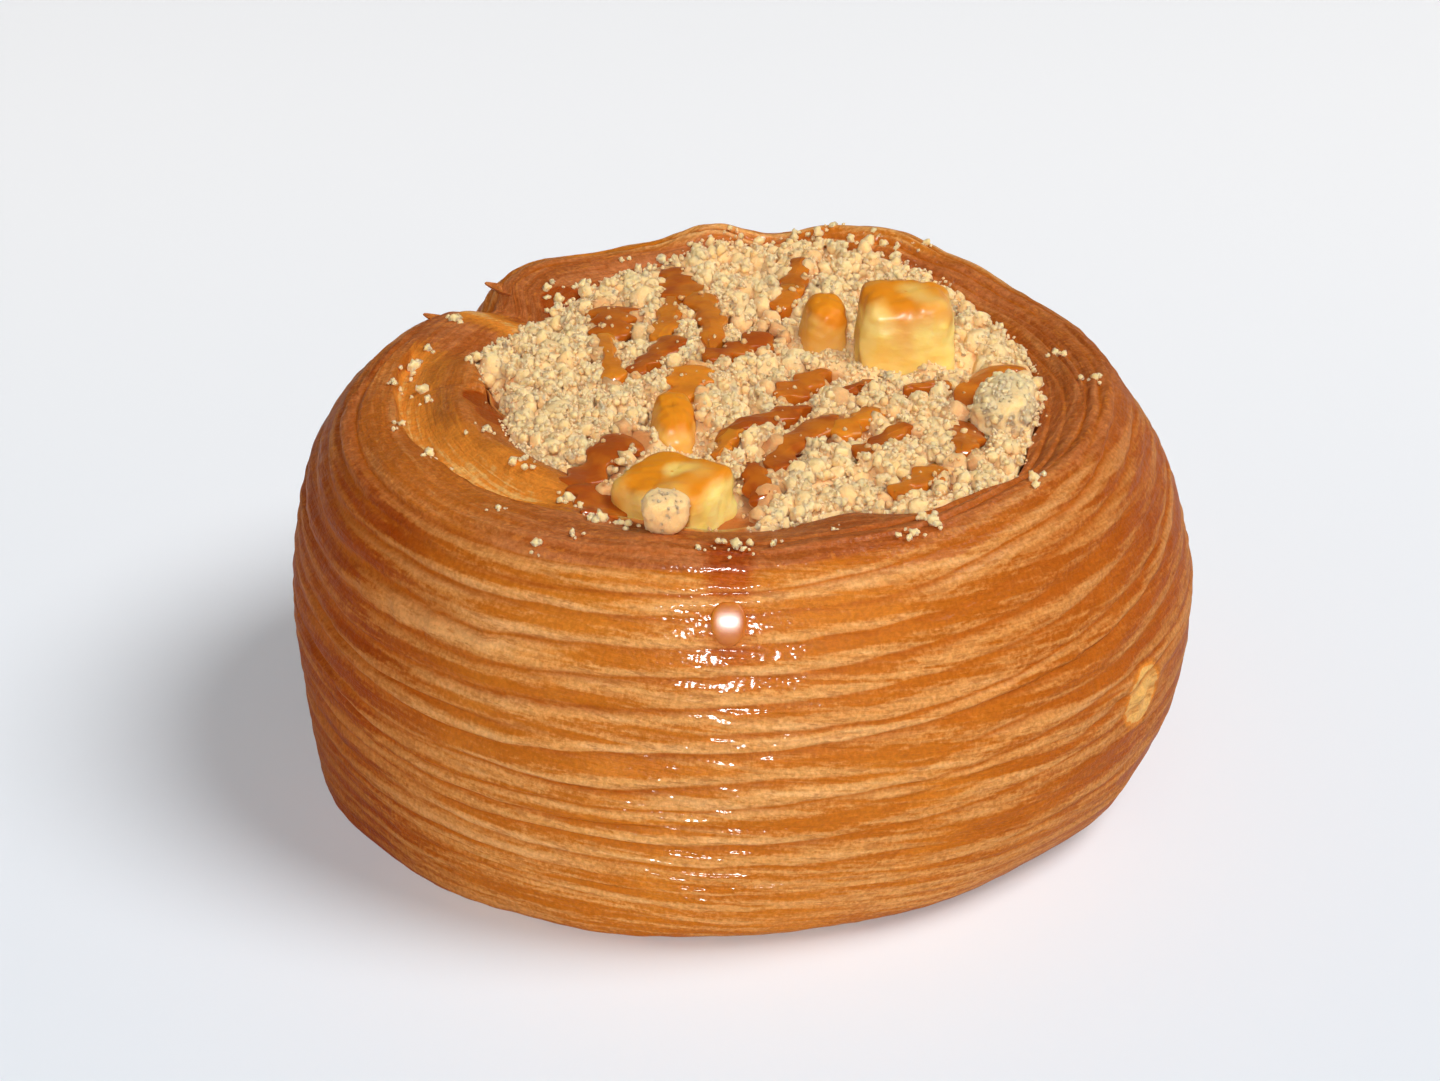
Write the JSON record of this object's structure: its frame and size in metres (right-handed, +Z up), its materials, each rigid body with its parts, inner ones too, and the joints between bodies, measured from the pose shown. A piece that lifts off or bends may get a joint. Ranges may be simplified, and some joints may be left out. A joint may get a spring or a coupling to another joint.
{
  "type": "danish pastry",
  "caption": "Round, tall laminated danish baked in a ring, with a filled bowl of crumble, apple dice and caramel.",
  "frame": {"origin": "middle of the footprint of the widest part of the wall, on the surface that the pastry rests on", "axes": "+Z up, +X to the right and -Y towards the front, as the pastry is shown"},
  "size_m": [0.1008, 0.1008, 0.0508],
  "materials": {
    "crust": "glazed, baked golden brown",
    "crumble": "matt, grainy",
    "apple": "wet, translucent",
    "caramel": "glossy, translucent"
  },
  "bodies": {
    "root": {"pastry": "crust", "crumble": "crumble", "crumble_clump": "crumble", "crumble_ball": "crumble", "apple_dice_front": "apple", "apple_dice_back": "apple", "apple_dice_side": "apple", "apple_dice_middle": "apple"}
  },
  "joints": []
}
